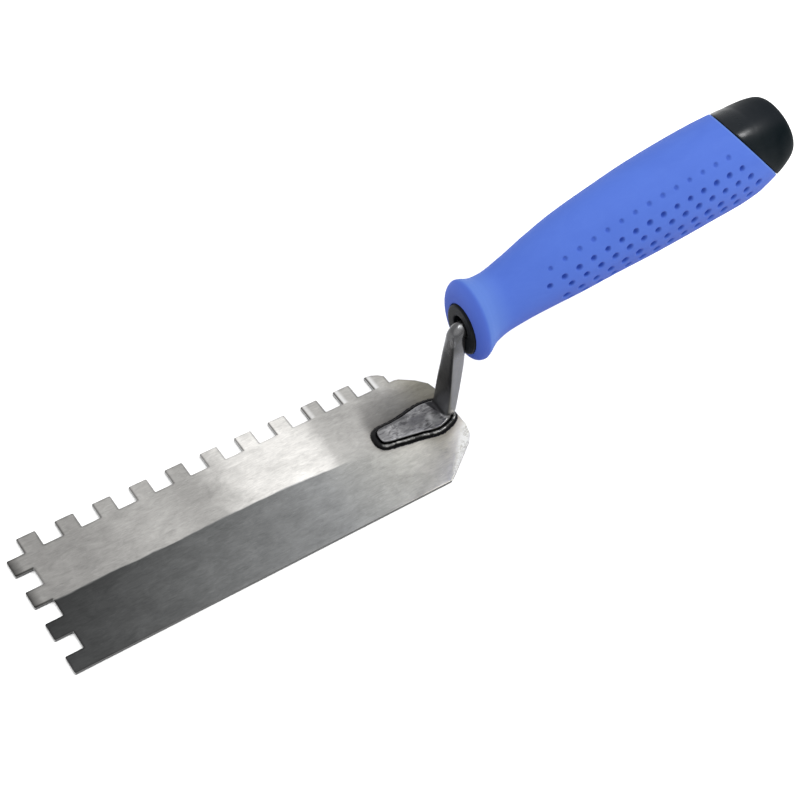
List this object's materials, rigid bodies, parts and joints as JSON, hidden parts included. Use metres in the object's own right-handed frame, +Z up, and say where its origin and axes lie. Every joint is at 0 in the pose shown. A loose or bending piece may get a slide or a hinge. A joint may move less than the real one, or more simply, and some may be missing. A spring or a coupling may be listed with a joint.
{
  "type": "notched trowel",
  "caption": "Margin trowel with square notches on its front and one long edge, a welded cranked shank and an oval soft-grip handle with a black butt.",
  "frame": {"origin": "centre of the blade's underside", "axes": "+Z up from the blade's underside, +X along the blade towards the handle, +Y towards the notched long edge"},
  "size_m": [0.2766, 0.05, 0.0836],
  "materials": {
    "blade_steel": "brushed along the length, two ground zones",
    "shank_paint": "dark semi-gloss lacquer on a forged surface",
    "weld_metal": "rippled weld, dark, bright on the crests",
    "core_plastic": "moulded, satin",
    "grip_rubber": "soft matte elastomer with moulded dimples",
    "cap_plastic": "moulded, satin to gloss"
  },
  "bodies": {
    "root": {"blade": "blade_steel", "shank": "shank_paint", "weld_bead": "weld_metal", "handle_core": "core_plastic", "grip_sleeve": "grip_rubber", "end_cap": "cap_plastic"}
  },
  "joints": []
}
